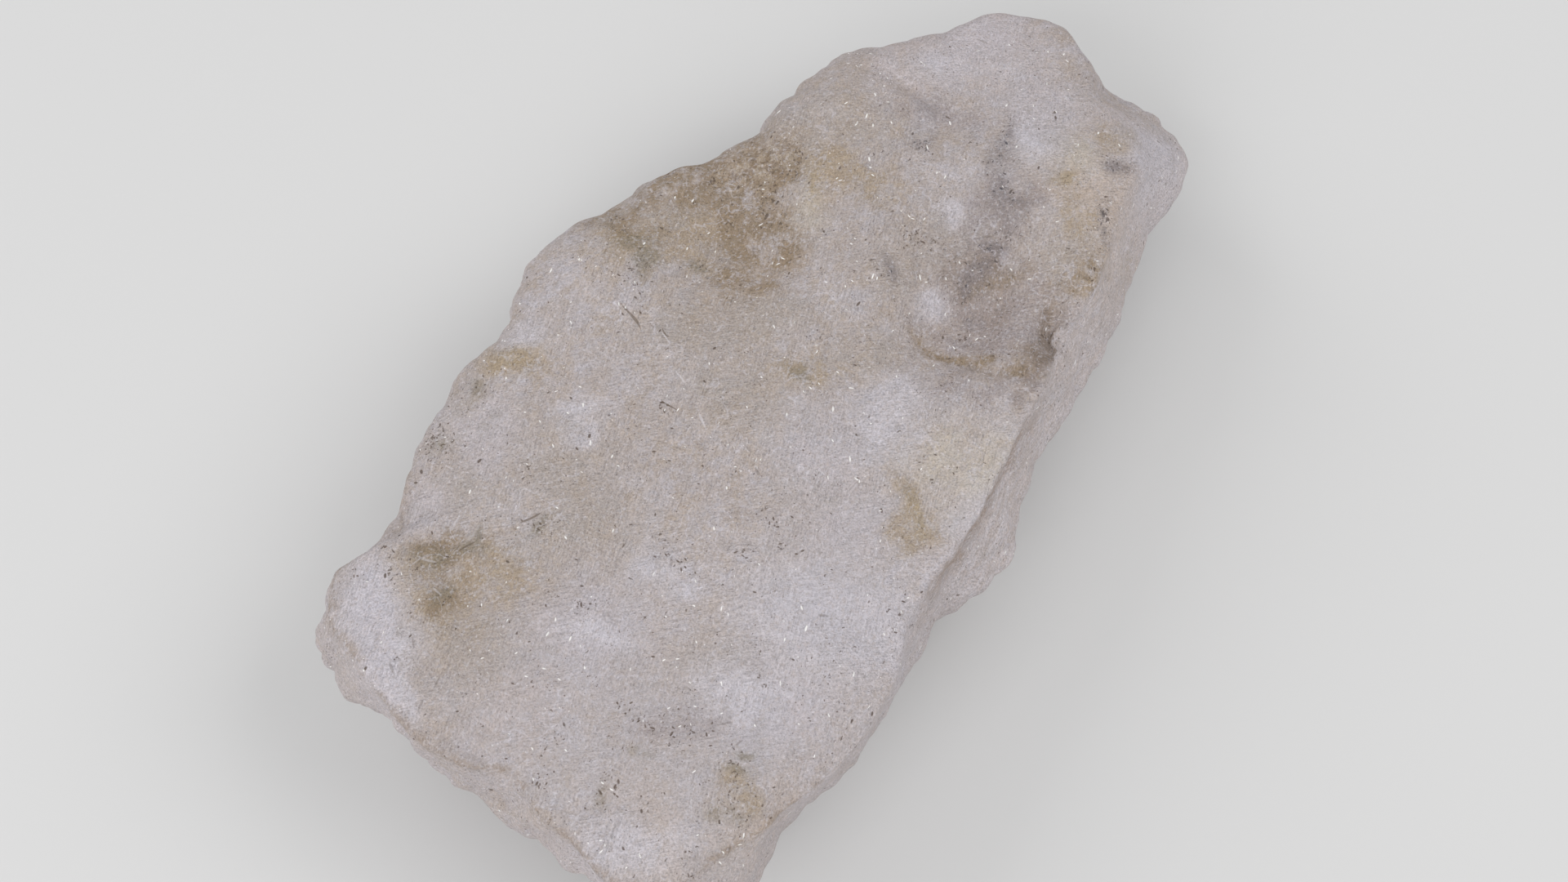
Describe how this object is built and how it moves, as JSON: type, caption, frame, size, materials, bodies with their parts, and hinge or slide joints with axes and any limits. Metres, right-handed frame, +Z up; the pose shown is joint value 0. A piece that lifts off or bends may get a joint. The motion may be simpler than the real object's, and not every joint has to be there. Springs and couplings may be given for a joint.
{
  "type": "gypsum rock",
  "caption": "Slab-shaped hand specimen of massive gypsum rock with a broad worn face, a sharp ridge and ledge along one side and a flat broken face it rests on.",
  "frame": {"origin": "middle of the bounding box, at the level of the flat face the rock rests on", "axes": "+Z up from the flat it rests on towards the broad worn face; +X along the slab, from its blunt square end towards its tapering end; +Y from the side with the sharp ridge and ledge towards the rounded side"},
  "size_m": [0.1157, 0.0635, 0.0263],
  "materials": {
    "gypsum": "waxy, finely granular mineral with small bright cleavage glints, grey-brown stains and dark flecks"
  },
  "bodies": {
    "root": {"gypsum_rock": "gypsum"}
  },
  "joints": []
}
